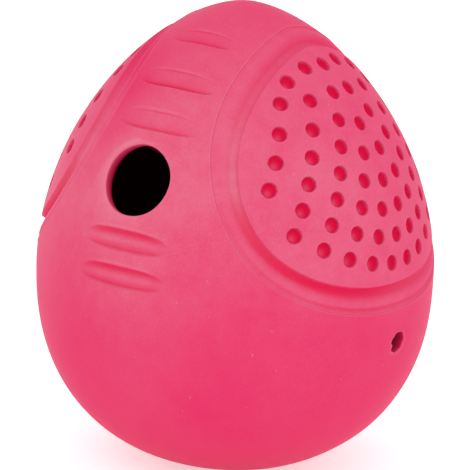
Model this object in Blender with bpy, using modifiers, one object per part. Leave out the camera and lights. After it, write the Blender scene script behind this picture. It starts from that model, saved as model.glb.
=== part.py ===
"""Self-righting treat egg of natural rubber for dogs, built as the pieces it is bonded from.

Units are metres and +Z is up. The origin is the middle of the small flat foot. The treat hole faces
-Y, and the two dimpled side panels face +X and -X. The egg is a turned shape with one law for its
crown and one for its bowl; every relief is laid on that surface by its depth along the normal.
"""
from math import acos, asin, cos, pi, radians, sin, sqrt

import bmesh
import bpy
from mathutils import Matrix, Vector

# The egg as a whole
EGG_HEIGHT = 0.110
BELLY_HEIGHT = 0.0467
BELLY_RADIUS = 0.0466
FOOT_RADIUS = 0.009
WALL = 0.0048
CROWN_HEIGHT_POWER = 1.866
CROWN_RADIUS_POWER = 1.643
BOWL_HEIGHT_POWER = 2.351
BOWL_RADIUS_POWER = 2.231

# The treat hole and the small air hole
TREAT_HOLE_RADIUS = 0.0086
TREAT_HOLE_DROP = 0.03435
AIR_HOLE_RADIUS = 0.0024
AIR_HOLE_DROP = 0.0094

# The leaf-shaped grip ribs above and below the treat hole
RIB_HALF_LENGTH = 0.0112
RIB_HALF_HEIGHT = 0.0025
RIB_DEPTH = 0.0009
RIB_BULGE_DEPTH = 0.0025
RIB_CREASE = 0.0003
UPPER_RIB_MARGIN = 0.0044
UPPER_RIB_PITCH = 0.0114
UPPER_RIB_LENGTH_SHARES = (0.975, 0.90, 0.80)
LOWER_RIB_MARGIN = 0.0051
LOWER_RIB_PITCH = 0.0080
LOWER_RIB_LENGTH_SHARES = (0.99, 1.0)

# The dimpled side panels
PANEL_CROWN_MARGIN = 0.0041
PANEL_BELLY_DROP = 0.0007
PANEL_HALF_ANGLE = radians(59.0)
PANEL_WAIST_SHARE = 0.375
PANEL_LOWER_POWER = 2.46
PANEL_UPPER_POWER = 1.76
BAND_WIDTH = 0.0061
GROOVE_DEPTH = 0.0013
LAP_WIDTH = 0.0030
LAP_DEPTH = 0.0026
BOND_GAP = 0.0003

# Across the band from the dome's edge to the joint line: share of its width, share of its depth
GROOVE_SHARES = (
    (0.00, 0.00),
    (0.08, 0.30),
    (0.24, 0.86),
    (0.38, 1.00),
    (0.54, 0.80),
    (0.72, 0.36),
    (0.87, 0.08),
    (1.00, 0.00),
)
DOME_RING_SHARES = (0.30, 0.60, 0.88)
BACK_RING_SHARES = (0.35, 0.70)

# The dimples, in rings about a middle near the top of each panel
DIMPLE_RADIUS = 0.0020
DIMPLE_DEPTH = 0.0011
DIMPLE_PITCH = 0.0060
DIMPLE_CENTRE_DROP = 0.0111
DIMPLE_EDGE_MARGIN = 0.0036
DIMPLE_RING_COUNT = 8
DIMPLE_RING_LIMIT = radians(78.0)
DIMPLE_SHOULDER_SHARE = 1.09

# The ballast in the bowl and the disc that closes it in
BASE_FLOOR = 0.0050
WEIGHT_RADIUS = 0.0220
WEIGHT_THICKNESS = 0.0090
WEIGHT_CHAMFER = 0.0040
COVER_THICKNESS = 0.0040
COVER_OVERLAP = 0.0040
COVER_EDGE = 0.0006

# Cuts run past what they cut by this much
OVERRUN = 0.0020

# How finely the round shapes are divided
EGG_SEGMENTS = 64
CROWN_STEPS = 16
BOWL_STEPS = 10
CHAMBER_CROWN_STEPS = 9
CHAMBER_BOWL_STEPS = 6
BALLAST_SEGMENTS = 48
OVAL_POINTS = 48
HOLE_SEGMENTS = 32
AIR_HOLE_SEGMENTS = 14
DIMPLE_SEGMENTS = 8
DIMPLE_RINGS = 6
LEAF_POINTS = 7
BULGE_SEGMENTS = 12
BULGE_RINGS = 8
WALK_STEPS = 48

# Places that follow from the sizes above
CROWN_SPAN = EGG_HEIGHT - BELLY_HEIGHT
FOOT_SHARE = (1 - (FOOT_RADIUS / BELLY_RADIUS) ** BOWL_RADIUS_POWER) ** (1 / BOWL_HEIGHT_POWER)
BOWL_SPAN = BELLY_HEIGHT / FOOT_SHARE
TREAT_HOLE_HEIGHT = EGG_HEIGHT - TREAT_HOLE_DROP
AIR_HOLE_HEIGHT = BELLY_HEIGHT - AIR_HOLE_DROP
WEIGHT_BOTTOM = BASE_FLOOR + BOND_GAP
WEIGHT_TOP = WEIGHT_BOTTOM + WEIGHT_THICKNESS
COVER_BOTTOM = WEIGHT_TOP + BOND_GAP
COVER_TOP = COVER_BOTTOM + COVER_THICKNESS
COVER_RADIUS = WEIGHT_RADIUS + COVER_OVERLAP

RUBBER_PINK = (0.84, 0.075, 0.17)
RUBBER_DEEP_PINK = (0.80, 0.055, 0.14)
WEIGHT_GREY = (0.33, 0.34, 0.35)


def clear_scene():
    """Remove whatever the open file holds."""
    for thing in list(bpy.data.objects):
        bpy.data.objects.remove(thing, do_unlink=True)


def make_collection(name):
    """Add a collection to the scene."""
    group = bpy.data.collections.new(name)
    bpy.context.scene.collection.children.link(group)
    return group


def make_material(name, colour, roughness, metallic):
    """Make a plain Principled material."""
    material = bpy.data.materials.new(name)
    material.use_nodes = True
    shader = material.node_tree.nodes["Principled BSDF"]
    shader.inputs["Base Color"].default_value = (*colour, 1.0)
    shader.inputs["Roughness"].default_value = roughness
    shader.inputs["Metallic"].default_value = metallic
    material.diffuse_color = (*colour, 1.0)
    return material


def egg_law(height):
    """Give the law that holds at a height: signed span, height power and radius power."""
    if height >= BELLY_HEIGHT:
        return CROWN_SPAN, CROWN_HEIGHT_POWER, CROWN_RADIUS_POWER
    return -BOWL_SPAN, BOWL_HEIGHT_POWER, BOWL_RADIUS_POWER


def radius_at(height):
    """Outer radius of the egg at a height."""
    span, height_power, radius_power = egg_law(height)
    share = (height - BELLY_HEIGHT) / span
    return BELLY_RADIUS * (1 - share ** height_power) ** (1 / radius_power)


def slope_at(height):
    """Change of the outer radius with height."""
    span, height_power, radius_power = egg_law(height)
    share = (height - BELLY_HEIGHT) / span
    inside = (1 - share ** height_power) ** (1 / radius_power - 1)
    return -BELLY_RADIUS / radius_power * inside * height_power * share ** (height_power - 1) / span


def surface_point(side, across, height, depth):
    """Point at a depth under the egg's surface, seen square on from one side (+1 or -1 along X)."""
    radius = radius_at(height)
    outer = Vector((side * sqrt(radius ** 2 - across ** 2), across, height))
    return outer - depth * surface_normal(outer)


def surface_normal(point):
    """Outward normal of the egg at a point of its surface."""
    return Vector((point.x, point.y, -radius_at(point.z) * slope_at(point.z))).normalized()


def height_along(start, arc):
    """Height reached by walking an arc length up the meridian, or down if it is negative."""
    height = start
    for _ in range(WALK_STEPS):
        height += arc / WALK_STEPS / sqrt(1 + slope_at(height) ** 2)
    return height


def egg_profile(depth, crown_steps=CROWN_STEPS, bowl_steps=BOWL_STEPS):
    """Profile of the egg from crown to foot, moved inwards by a depth, as (radius, height)."""
    foot_angle = acos((FOOT_RADIUS / BELLY_RADIUS) ** (BOWL_RADIUS_POWER / 2))
    profile = [(0.0, EGG_HEIGHT - depth)]
    for step in range(1, crown_steps + 1):
        angle = pi / 2 * (1 - step / crown_steps)
        height = BELLY_HEIGHT + CROWN_SPAN * sin(angle) ** (2 / CROWN_HEIGHT_POWER)
        profile.append(profile_point(height, depth))
    for step in range(1, bowl_steps + 1):
        angle = foot_angle * step / bowl_steps
        height = BELLY_HEIGHT - BOWL_SPAN * sin(angle) ** (2 / BOWL_HEIGHT_POWER)
        profile.append(profile_point(max(height, 0.0), depth))
    return profile


def closed_profile(depth):
    """The same profile, closed across the foot to the axis."""
    profile = egg_profile(depth)
    return profile + [(0.0, profile[-1][1])]


def profile_point(height, depth):
    """One point of the profile, moved inwards along the normal."""
    slope = slope_at(height)
    length = sqrt(1 + slope ** 2)
    return radius_at(height) - depth / length, height + depth * slope / length


def turned_solid(name, profile, segments, group):
    """Turn a profile of (radius, height) points, crown first, about the Z axis."""
    mesh = bpy.data.meshes.new(name)
    points = [(radius, 0.0, height) for radius, height in profile]
    mesh.from_pydata(points, [(i, i + 1) for i in range(len(points) - 1)], [])
    solid = bpy.data.objects.new(name, mesh)
    group.objects.link(solid)
    turn = solid.modifiers.new("turn", "SCREW")
    turn.axis = "Z"
    turn.steps = segments
    turn.render_steps = segments
    turn.use_merge_vertices = True
    turn.merge_threshold = 0.00001
    return solid


def as_cutter(thing):
    """Mark an object as one that only cuts others."""
    thing.hide_render = True
    thing.display_type = "WIRE"
    return thing


def cut(target, cutter):
    """Take one object out of another."""
    step = target.modifiers.new("cut " + cutter.name, "BOOLEAN")
    step.operation = "DIFFERENCE"
    step.solver = "EXACT"
    step.object = cutter


def finish_piece(piece, material):
    """Give a piece its material and smooth round faces with sharp edges."""
    piece.data.materials.append(material)
    piece.data.shade_smooth()
    piece.data.set_sharp_from_angle(angle=radians(35.0))


def inset_outline(outline, width):
    """Move an oval inwards by a width measured along the egg's surface.

    An oval is its half width, its bottom and its top, seen square on from the side.
    """
    half_width, bottom, top = outline
    waist = bottom + PANEL_WAIST_SHARE * (top - bottom)
    radius = radius_at(waist)
    narrower = radius * sin(asin(half_width / radius) - width / radius)
    lower = top - width / sqrt(1 + slope_at(top - width / 2) ** 2)
    return narrower, bottom + width, lower


def blend_outlines(inner, outer, share):
    """Oval part of the way from one oval to another."""
    return tuple(a + share * (b - a) for a, b in zip(inner, outer))


def shrink_outline(outline, share):
    """Oval scaled about its waist."""
    half_width, bottom, top = outline
    waist = bottom + PANEL_WAIST_SHARE * (top - bottom)
    return share * half_width, waist - share * (waist - bottom), waist + share * (top - waist)


def oval_point(outline, angle):
    """Point of an oval as (across, height): one power law below its waist, another above."""
    half_width, bottom, top = outline
    waist = bottom + PANEL_WAIST_SHARE * (top - bottom)
    rising = sin(angle) >= 0
    power = PANEL_UPPER_POWER if rising else PANEL_LOWER_POWER
    reach = top - waist if rising else bottom - waist
    across = abs(cos(angle)) ** (2 / power)
    along = abs(sin(angle)) ** (2 / power)
    return half_width * (across if cos(angle) >= 0 else -across), waist + reach * along


def oval_share(outline, across, height):
    """Size of the like oval through a point, as a share of this oval."""
    half_width, bottom, top = outline
    waist = bottom + PANEL_WAIST_SHARE * (top - bottom)
    rising = height >= waist
    power = PANEL_UPPER_POWER if rising else PANEL_LOWER_POWER
    reach = top - waist if rising else waist - bottom
    return (abs(across / half_width) ** power + abs((height - waist) / reach) ** power) ** (1 / power)


def oval_loft(name, side, sections, group):
    """Loft a closed body through ovals that lie at given depths under the egg's surface.

    Sections are (oval, depth) pairs, from the middle of the front, over the rim, to the middle of
    the back. Both ends close on one point at the waist.
    """
    shape = bmesh.new()
    rings = []
    for outline, depth in sections:
        ring = []
        for i in range(OVAL_POINTS):
            across, height = oval_point(outline, 2 * pi * i / OVAL_POINTS)
            ring.append(shape.verts.new(surface_point(side, across, height, depth)))
        rings.append(ring)
    for ring, next_ring in zip(rings, rings[1:]):
        for i in range(OVAL_POINTS):
            j = (i + 1) % OVAL_POINTS
            shape.faces.new((ring[i], next_ring[i], next_ring[j], ring[j]))
    for ring, (outline, depth) in ((rings[0], sections[0]), (rings[-1], sections[-1])):
        middle = shrink_outline(outline, 0)
        tip = shape.verts.new(surface_point(side, middle[0], middle[1], depth))
        for i in range(OVAL_POINTS):
            shape.faces.new((ring[i], ring[(i + 1) % OVAL_POINTS], tip))
    bmesh.ops.recalc_face_normals(shape, faces=shape.faces)
    mesh = bpy.data.meshes.new(name)
    shape.to_mesh(mesh)
    shape.free()
    body = bpy.data.objects.new(name, mesh)
    group.objects.link(body)
    return body


def panel_sections(joint_line):
    """Sections of a side panel: dimpled dome, grooved band, lapped rim and plain back."""
    edge = inset_outline(joint_line, BOND_GAP)
    plug = inset_outline(joint_line, LAP_WIDTH + BOND_GAP)
    dome = dome_outline(joint_line)
    sections = [(shrink_outline(dome, share), 0.0) for share in DOME_RING_SHARES]
    for share, depth_share in GROOVE_SHARES:
        sections.append((blend_outlines(dome, edge, share), GROOVE_DEPTH * depth_share))
    sections.append((edge, LAP_DEPTH - BOND_GAP))
    sections.append((plug, LAP_DEPTH - BOND_GAP))
    sections.append((plug, WALL))
    sections += [(shrink_outline(plug, share), WALL) for share in reversed(BACK_RING_SHARES)]
    return sections


def window_sections(joint_line):
    """Sections of the stepped opening that a panel is bonded into."""
    throat = inset_outline(joint_line, LAP_WIDTH)
    sections = [(shrink_outline(joint_line, share), -OVERRUN) for share in BACK_RING_SHARES]
    sections.append((joint_line, -OVERRUN))
    sections.append((joint_line, LAP_DEPTH))
    sections.append((throat, LAP_DEPTH))
    sections.append((throat, WALL + OVERRUN))
    sections += [(shrink_outline(throat, share), WALL + OVERRUN) for share in reversed(BACK_RING_SHARES)]
    return sections


def panel_outline():
    """Joint line of a side panel, seen square on."""
    bottom = BELLY_HEIGHT - PANEL_BELLY_DROP
    top = EGG_HEIGHT - PANEL_CROWN_MARGIN
    waist = bottom + PANEL_WAIST_SHARE * (top - bottom)
    return radius_at(waist) * sin(PANEL_HALF_ANGLE), bottom, top


def dome_outline(joint_line):
    """Edge of the dimpled dome inside a panel's band."""
    return inset_outline(joint_line, BAND_WIDTH)


def dimple_places(dome):
    """Middles of the dimples as (across, height).

    Ring k has six dimples for each step of k in a full turn. Even rings start straight below the
    middle and odd rings start half a step round, and each ring stops at the dome's edge. One dimple
    more on each shoulder, level with the first ring, closes the rows at the top.
    """
    centre = EGG_HEIGHT - DIMPLE_CENTRE_DROP
    field = inset_outline(dome, DIMPLE_EDGE_MARGIN)
    places = [(0.0, centre)]
    for ring in range(1, DIMPLE_RING_COUNT):
        step = pi / 3 / ring
        start = 0.0 if ring % 2 == 0 else step / 2
        for k in range(-3 * ring, 3 * ring + 1):
            angle = start + k * step
            if abs(angle) > DIMPLE_RING_LIMIT:
                continue
            across = ring * DIMPLE_PITCH * sin(angle)
            height = centre - ring * DIMPLE_PITCH * cos(angle)
            if oval_share(field, across, height) <= 1:
                places.append((across, height))
    for hand in (-1, 1):
        places.append((hand * DIMPLE_PITCH, centre))
        reach = 2 * DIMPLE_PITCH * DIMPLE_SHOULDER_SHARE
        places.append((hand * reach * sin(DIMPLE_RING_LIMIT), centre - reach * cos(DIMPLE_RING_LIMIT)))
    return places


def dimple_cutter(name, side, dome, group):
    """One ball for each dimple, set so that its cap makes the dimple's width and depth."""
    ball_radius = (DIMPLE_RADIUS ** 2 + DIMPLE_DEPTH ** 2) / (2 * DIMPLE_DEPTH)
    balls = bmesh.new()
    for across, height in dimple_places(dome):
        middle = surface_point(side, across, height, 0.0)
        normal = surface_normal(middle)
        place = Matrix.Translation(middle + (ball_radius - DIMPLE_DEPTH) * normal)
        turn = normal.to_track_quat("Z", "Y").to_matrix().to_4x4()
        bmesh.ops.create_uvsphere(balls, u_segments=DIMPLE_SEGMENTS, v_segments=DIMPLE_RINGS,
                                  radius=ball_radius, matrix=place @ turn)
    mesh = bpy.data.meshes.new(name)
    balls.to_mesh(mesh)
    balls.free()
    cutter = bpy.data.objects.new(name, mesh)
    group.objects.link(cutter)
    return as_cutter(cutter)


def make_panel(name, side, material, parts, cutters):
    """One side panel with its dimples."""
    joint_line = panel_outline()
    panel = oval_loft(name, side, panel_sections(joint_line), parts)
    cut(panel, dimple_cutter(name + "_dimples", side, dome_outline(joint_line), cutters))
    finish_piece(panel, material)
    return panel


def drill(name, radius, segments, point, group):
    """Straight round cutter through the wall, square to the surface at a point."""
    normal = surface_normal(point)
    reach = WALL + 2 * radius
    shape = bmesh.new()
    turn = normal.to_track_quat("Z", "Y").to_matrix().to_4x4()
    bmesh.ops.create_cone(shape, cap_ends=True, segments=segments, radius1=radius, radius2=radius,
                          depth=2 * reach, matrix=Matrix.Translation(point) @ turn)
    mesh = bpy.data.meshes.new(name)
    shape.to_mesh(mesh)
    shape.free()
    cutter = bpy.data.objects.new(name, mesh)
    group.objects.link(cutter)
    return as_cutter(cutter)


def rib_places():
    """Height and half length of each grip rib, walked along the front from the treat hole's edge."""
    places = []
    for k, share in enumerate(UPPER_RIB_LENGTH_SHARES):
        arc = TREAT_HOLE_RADIUS + UPPER_RIB_MARGIN + k * UPPER_RIB_PITCH
        places.append((height_along(TREAT_HOLE_HEIGHT, arc), share * RIB_HALF_LENGTH))
    for k, share in enumerate(LOWER_RIB_LENGTH_SHARES):
        arc = TREAT_HOLE_RADIUS + LOWER_RIB_MARGIN + k * LOWER_RIB_PITCH
        places.append((height_along(TREAT_HOLE_HEIGHT, -arc), share * RIB_HALF_LENGTH))
    return places


def front_frame(height):
    """Frame on the front of the egg: X along it, Y up its surface, Z out along its normal."""
    point = Vector((0.0, -radius_at(height), height))
    normal = surface_normal(point)
    across = Vector((1.0, 0.0, 0.0))
    frame = Matrix((across, normal.cross(across), normal)).transposed().to_4x4()
    return Matrix.Translation(point) @ frame


def leaf_prism(shape, frame, half_length, reach):
    """Add an upright prism whose outline is two arcs that meet in sharp tips."""
    arc_radius = (half_length ** 2 + RIB_HALF_HEIGHT ** 2) / (2 * RIB_HALF_HEIGHT)
    half_angle = asin(half_length / arc_radius)
    outline = []
    for hand in (1, -1):
        for i in range(LEAF_POINTS - 1):
            angle = hand * half_angle * (2 * i / (LEAF_POINTS - 1) - 1)
            offset = arc_radius * cos(angle) - arc_radius + RIB_HALF_HEIGHT
            outline.append(Vector((arc_radius * sin(angle), -hand * offset, 0.0)))
    lift = Vector((0.0, 0.0, reach))
    face = shape.faces.new([shape.verts.new(frame @ (point - lift)) for point in outline])
    risen = bmesh.ops.extrude_face_region(shape, geom=[face])
    tops = [item for item in risen["geom"] if isinstance(item, bmesh.types.BMVert)]
    bmesh.ops.translate(shape, verts=tops, vec=frame.to_3x3() @ (2 * lift))


def rib_cutter(group):
    """Pockets of the grip ribs, with the low bulge left standing in each of them."""
    prisms = bmesh.new()
    bulges = bmesh.new()
    sunk = sqrt(1 - (1 - RIB_DEPTH / RIB_BULGE_DEPTH) ** 2)
    for height, half_length in rib_places():
        frame = front_frame(height)
        leaf_prism(prisms, frame, half_length, RIB_BULGE_DEPTH)
        size = Matrix.Diagonal((half_length - RIB_CREASE, (RIB_HALF_HEIGHT - RIB_CREASE) / sunk,
                                RIB_BULGE_DEPTH, 1.0))
        sink = Matrix.Translation((0.0, 0.0, -RIB_BULGE_DEPTH))
        bmesh.ops.create_uvsphere(bulges, u_segments=BULGE_SEGMENTS, v_segments=BULGE_RINGS,
                                  radius=1.0, matrix=frame @ sink @ size)
    bmesh.ops.recalc_face_normals(prisms, faces=prisms.faces)
    cutters = []
    for name, shape in (("rib_pockets", prisms), ("rib_bulges", bulges)):
        mesh = bpy.data.meshes.new(name)
        shape.to_mesh(mesh)
        shape.free()
        thing = bpy.data.objects.new(name, mesh)
        group.objects.link(thing)
        cutters.append(as_cutter(thing))
    pockets, bulge = cutters
    core = as_cutter(turned_solid("rib_core", closed_profile(RIB_DEPTH), EGG_SEGMENTS, group))
    cut(pockets, core)
    cut(pockets, bulge)
    return pockets


def chamber_profile():
    """Inside of the body: the treat chamber, the seat of the cover and the pocket of the weight."""
    wall_inside = egg_profile(WALL, CHAMBER_CROWN_STEPS, CHAMBER_BOWL_STEPS)
    profile = [point for point in wall_inside if point[1] > COVER_TOP]
    below = next(point for point in wall_inside if point[1] <= COVER_TOP)
    above = profile[-1]
    share = (above[1] - COVER_TOP) / (above[1] - below[1])
    profile.append((above[0] + share * (below[0] - above[0]), COVER_TOP))
    seat = COVER_RADIUS + BOND_GAP
    pocket = WEIGHT_RADIUS + BOND_GAP
    profile += [
        (seat, COVER_TOP),
        (seat, WEIGHT_TOP),
        (pocket, WEIGHT_TOP),
        (pocket, BASE_FLOOR + WEIGHT_CHAMFER),
        (pocket - WEIGHT_CHAMFER, BASE_FLOOR),
        (0.0, BASE_FLOOR),
    ]
    return profile


def make_body(material, parts, cutters):
    """Rubber body: crown, bowl and the front and back straps between the two side openings."""
    body = turned_solid("egg_body", closed_profile(0.0), EGG_SEGMENTS, parts)
    chamber = turned_solid("treat_chamber", chamber_profile(), BALLAST_SEGMENTS, cutters)
    cut(body, as_cutter(chamber))
    for name, side in (("right_window", 1), ("left_window", -1)):
        cut(body, as_cutter(oval_loft(name, side, window_sections(panel_outline()), cutters)))
    hole_point = Vector((0.0, -radius_at(TREAT_HOLE_HEIGHT), TREAT_HOLE_HEIGHT))
    cut(body, drill("treat_hole", TREAT_HOLE_RADIUS, HOLE_SEGMENTS, hole_point, cutters))
    air_point = Vector((radius_at(AIR_HOLE_HEIGHT), 0.0, AIR_HOLE_HEIGHT))
    cut(body, drill("air_hole", AIR_HOLE_RADIUS, AIR_HOLE_SEGMENTS, air_point, cutters))
    cut(body, rib_cutter(cutters))
    finish_piece(body, material)
    return body


def make_weight(material, parts):
    """Ballast disc whose lower edge is chamfered to follow the bowl."""
    profile = [
        (0.0, WEIGHT_TOP),
        (WEIGHT_RADIUS, WEIGHT_TOP),
        (WEIGHT_RADIUS, WEIGHT_BOTTOM + WEIGHT_CHAMFER),
        (WEIGHT_RADIUS - WEIGHT_CHAMFER, WEIGHT_BOTTOM),
        (0.0, WEIGHT_BOTTOM),
    ]
    weight = turned_solid("base_weight", profile, BALLAST_SEGMENTS, parts)
    finish_piece(weight, material)
    return weight


def make_cover(material, parts):
    """Rubber disc bonded over the weight, flush with the chamber's floor."""
    profile = [
        (0.0, COVER_TOP),
        (COVER_RADIUS - COVER_EDGE, COVER_TOP),
        (COVER_RADIUS, COVER_TOP - COVER_EDGE),
        (COVER_RADIUS, COVER_BOTTOM),
        (0.0, COVER_BOTTOM),
    ]
    cover = turned_solid("weight_cover", profile, BALLAST_SEGMENTS, parts)
    finish_piece(cover, material)
    return cover


clear_scene()
part_group = make_collection("treat_egg")
cutter_group = make_collection("cutters")
body_rubber = make_material("body_rubber", RUBBER_PINK, 0.62, 0.0)
panel_rubber = make_material("panel_rubber", RUBBER_DEEP_PINK, 0.62, 0.0)
cover_rubber = make_material("cover_rubber", RUBBER_PINK, 0.7, 0.0)
weight_steel = make_material("weight_steel", WEIGHT_GREY, 0.45, 1.0)

make_body(body_rubber, part_group, cutter_group)
make_panel("right_panel", 1, panel_rubber, part_group, cutter_group)
make_panel("left_panel", -1, panel_rubber, part_group, cutter_group)
make_weight(weight_steel, part_group)
make_cover(cover_rubber, part_group)
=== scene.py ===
"""Looks of a self-righting rubber treat egg for dogs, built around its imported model.

Units are metres and +Z is up. The egg stands on the origin, its treat hole faces -Y and its dimpled
side panels face +X and -X. Every surface is a grid of points worked out from a formula.
"""

from math import acos, asin, atan2, cos, pi, radians, sin, sqrt

import bmesh
import bpy
import numpy as np
from mathutils import Matrix, Vector


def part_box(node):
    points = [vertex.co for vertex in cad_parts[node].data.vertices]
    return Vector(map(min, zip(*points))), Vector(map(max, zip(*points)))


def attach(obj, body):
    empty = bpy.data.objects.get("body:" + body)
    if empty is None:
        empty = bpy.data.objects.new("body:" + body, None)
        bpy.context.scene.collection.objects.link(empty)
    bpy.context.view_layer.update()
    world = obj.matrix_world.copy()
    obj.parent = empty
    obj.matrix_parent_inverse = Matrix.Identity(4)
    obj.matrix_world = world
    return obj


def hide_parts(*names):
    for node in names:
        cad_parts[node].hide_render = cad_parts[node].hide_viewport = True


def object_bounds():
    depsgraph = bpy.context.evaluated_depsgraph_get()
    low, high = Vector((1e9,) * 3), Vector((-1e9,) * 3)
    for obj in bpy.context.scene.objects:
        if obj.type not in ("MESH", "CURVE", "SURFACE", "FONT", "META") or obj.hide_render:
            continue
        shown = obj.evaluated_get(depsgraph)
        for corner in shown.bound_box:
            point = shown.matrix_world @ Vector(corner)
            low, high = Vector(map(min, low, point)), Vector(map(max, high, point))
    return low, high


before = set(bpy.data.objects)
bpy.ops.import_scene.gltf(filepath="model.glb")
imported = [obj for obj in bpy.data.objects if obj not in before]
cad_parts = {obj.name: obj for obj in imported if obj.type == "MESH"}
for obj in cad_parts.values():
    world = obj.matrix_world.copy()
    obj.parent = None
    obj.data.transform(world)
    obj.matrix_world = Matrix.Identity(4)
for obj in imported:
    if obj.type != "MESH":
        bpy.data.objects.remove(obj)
cad_low, cad_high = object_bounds()

# Outside of the egg. One turned shape of natural rubber runs under every piece that shows, with one
# law for its crown and one for its bowl, and a small flat foot. Reliefs are laid on it by their depth.
BELLY_HEIGHT = 0.0467
FOOT_RADIUS = 0.009
WALL = 0.0048
CROWN_HEIGHT_POWER = 1.866
CROWN_RADIUS_POWER = 1.643
BOWL_HEIGHT_POWER = 2.351
BOWL_RADIUS_POWER = 2.231
EGG_HEIGHT = cad_high.z
BELLY_RADIUS = cad_high.x
CROWN_SPAN = EGG_HEIGHT - BELLY_HEIGHT
FOOT_SHARE = (1 - (FOOT_RADIUS / BELLY_RADIUS) ** BOWL_RADIUS_POWER) ** (1 / BOWL_HEIGHT_POWER)
BOWL_SPAN = BELLY_HEIGHT / FOOT_SHARE
EGG_MIDDLE = np.array([0.0, 0.0, 0.050])
PROFILE_STEPS = 3000
FOOT_STEPS = 30
TINY = 1e-9
UNEVEN_DEPTH = 0.00005
UNEVEN_WAVES = (((260, 0, 90), 0.0), ((0, 230, -140), 1.3), ((200, 0, 310), 0.0))


def unit(vectors):
    """The same directions at length 1."""
    return vectors / np.linalg.norm(vectors, axis=-1, keepdims=True)


def off_axis(directions):
    """Angle of each direction from +Z."""
    return np.arctan2(np.hypot(directions[..., 0], directions[..., 1]), directions[..., 2])


def egg_radius(height):
    """Radius at a height: (1 - share of the span to a power) to the inverse of another power."""
    above = np.clip((height - BELLY_HEIGHT) / CROWN_SPAN, 0, 1)
    below = np.clip((BELLY_HEIGHT - height) / BOWL_SPAN, 0, 1)
    crown = (1 - above ** CROWN_HEIGHT_POWER) ** (1 / CROWN_RADIUS_POWER)
    bowl = (1 - below ** BOWL_HEIGHT_POWER) ** (1 / BOWL_RADIUS_POWER)
    return BELLY_RADIUS * np.where(height >= BELLY_HEIGHT, crown, bowl)


def egg_lean(height):
    """Radius times its change with height, which tips the normal up or down."""
    above = np.clip((height - BELLY_HEIGHT) / CROWN_SPAN, TINY, 1 - TINY)
    below = np.clip((BELLY_HEIGHT - height) / BOWL_SPAN, TINY, 1 - TINY)
    crown = -((1 - above ** CROWN_HEIGHT_POWER) ** (2 / CROWN_RADIUS_POWER - 1) / CROWN_RADIUS_POWER
              * CROWN_HEIGHT_POWER * above ** (CROWN_HEIGHT_POWER - 1) / CROWN_SPAN)
    bowl = ((1 - below ** BOWL_HEIGHT_POWER) ** (2 / BOWL_RADIUS_POWER - 1) / BOWL_RADIUS_POWER
            * BOWL_HEIGHT_POWER * below ** (BOWL_HEIGHT_POWER - 1) / BOWL_SPAN)
    return BELLY_RADIUS ** 2 * np.where(height >= BELLY_HEIGHT, crown, bowl)


def egg_normal(points):
    """Outward normal: across the axis as far as the point lies out, along it against the lean."""
    normal = points.copy()
    normal[..., 2] = -egg_lean(points[..., 2])
    return unit(normal)


def egg_profile():
    """Radii and heights from the crown to the middle of the foot, closest together at the crown."""
    turn = np.linspace(pi / 2, 0, PROFILE_STEPS)
    crown = BELLY_HEIGHT + CROWN_SPAN * np.sin(turn) ** (2 / CROWN_HEIGHT_POWER)
    fall = np.linspace(0, acos((FOOT_RADIUS / BELLY_RADIUS) ** (BOWL_RADIUS_POWER / 2)), PROFILE_STEPS)
    bowl = BELLY_HEIGHT - BOWL_SPAN * np.sin(fall[1:]) ** (2 / BOWL_HEIGHT_POWER)
    height = np.concatenate([crown, bowl])
    foot = np.linspace(FOOT_RADIUS, 0, FOOT_STEPS)[1:]
    return np.concatenate([egg_radius(height), foot]), np.concatenate([height, 0 * foot])


def on_profile(directions, radii, heights):
    """Points where rays from the egg's middle meet a turned profile, by their angle from the axis."""
    rise = heights - EGG_MIDDLE[2]
    reach = np.interp(off_axis(directions), np.arctan2(radii, rise), np.hypot(radii, rise))
    return unit(directions) * reach[..., None] + EGG_MIDDLE


def settled(points):
    """Slow swell of moulded rubber: crossed waves a few centimetres long, always inwards."""
    waves = sum(np.sin(points @ way + start) for way, start in UNEVEN_WAVES)
    depth = UNEVEN_DEPTH * (1 + waves / len(UNEVEN_WAVES))
    return points - depth[:, None] * unit(points - EGG_MIDDLE)


OUTSIDE = OUTSIDE_RADII, OUTSIDE_HEIGHTS = egg_profile()
MERIDIAN = np.concatenate([[0.0], np.cumsum(np.hypot(np.diff(OUTSIDE_RADII), np.diff(OUTSIDE_HEIGHTS)))])


def meridian_length(height):
    """Distance from the crown down the outside to a height."""
    return np.interp(-height, -OUTSIDE_HEIGHTS, MERIDIAN)


# Joint line round each side panel. An oval seen square on from the side, with one power law below its
# waist and another above it. The body steps in behind it as a ledge, and the panel is bonded to that.
PANEL_LOW, PANEL_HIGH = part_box("right_panel")
BOND_GAP = 0.0003
JOINT_LINE = (PANEL_HIGH.y + BOND_GAP / 2, PANEL_LOW.z - BOND_GAP, PANEL_HIGH.z + BOND_GAP / 2)
PANEL_MIDDLE = (JOINT_LINE[1] + JOINT_LINE[2]) / 2
PANEL_WAIST_SHARE = 0.375
PANEL_LOWER_POWER = 2.46
PANEL_UPPER_POWER = 1.76
LAP_WIDTH = 0.0030
LAP_DEPTH = 0.0026
LAP_STEP = 0.0008
EDGE_ROUND = 0.00005
VISIBLE_GAP = 0.00002
# The joint's gap is painted darker as shade.
JOINT_RECESS = 0.5
ROUND_STEPS = 3
OVAL_STEPS = 4000


def even_shares(count):
    """Even shares of 1, from the first step after 0 up to 1."""
    return np.arange(1, count + 1) / count


def inset_outline(outline, width):
    """Oval moved inwards by a width measured along the egg's surface."""
    half_width, bottom, top = outline
    radius = float(egg_radius(bottom + PANEL_WAIST_SHARE * (top - bottom)))
    narrower = radius * sin(asin(half_width / radius) - width / radius)
    near_top = top - max(width, 0) / 2
    slope = float(egg_lean(near_top) / egg_radius(near_top))
    return narrower, bottom + width, top - width / sqrt(1 + slope ** 2)


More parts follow.
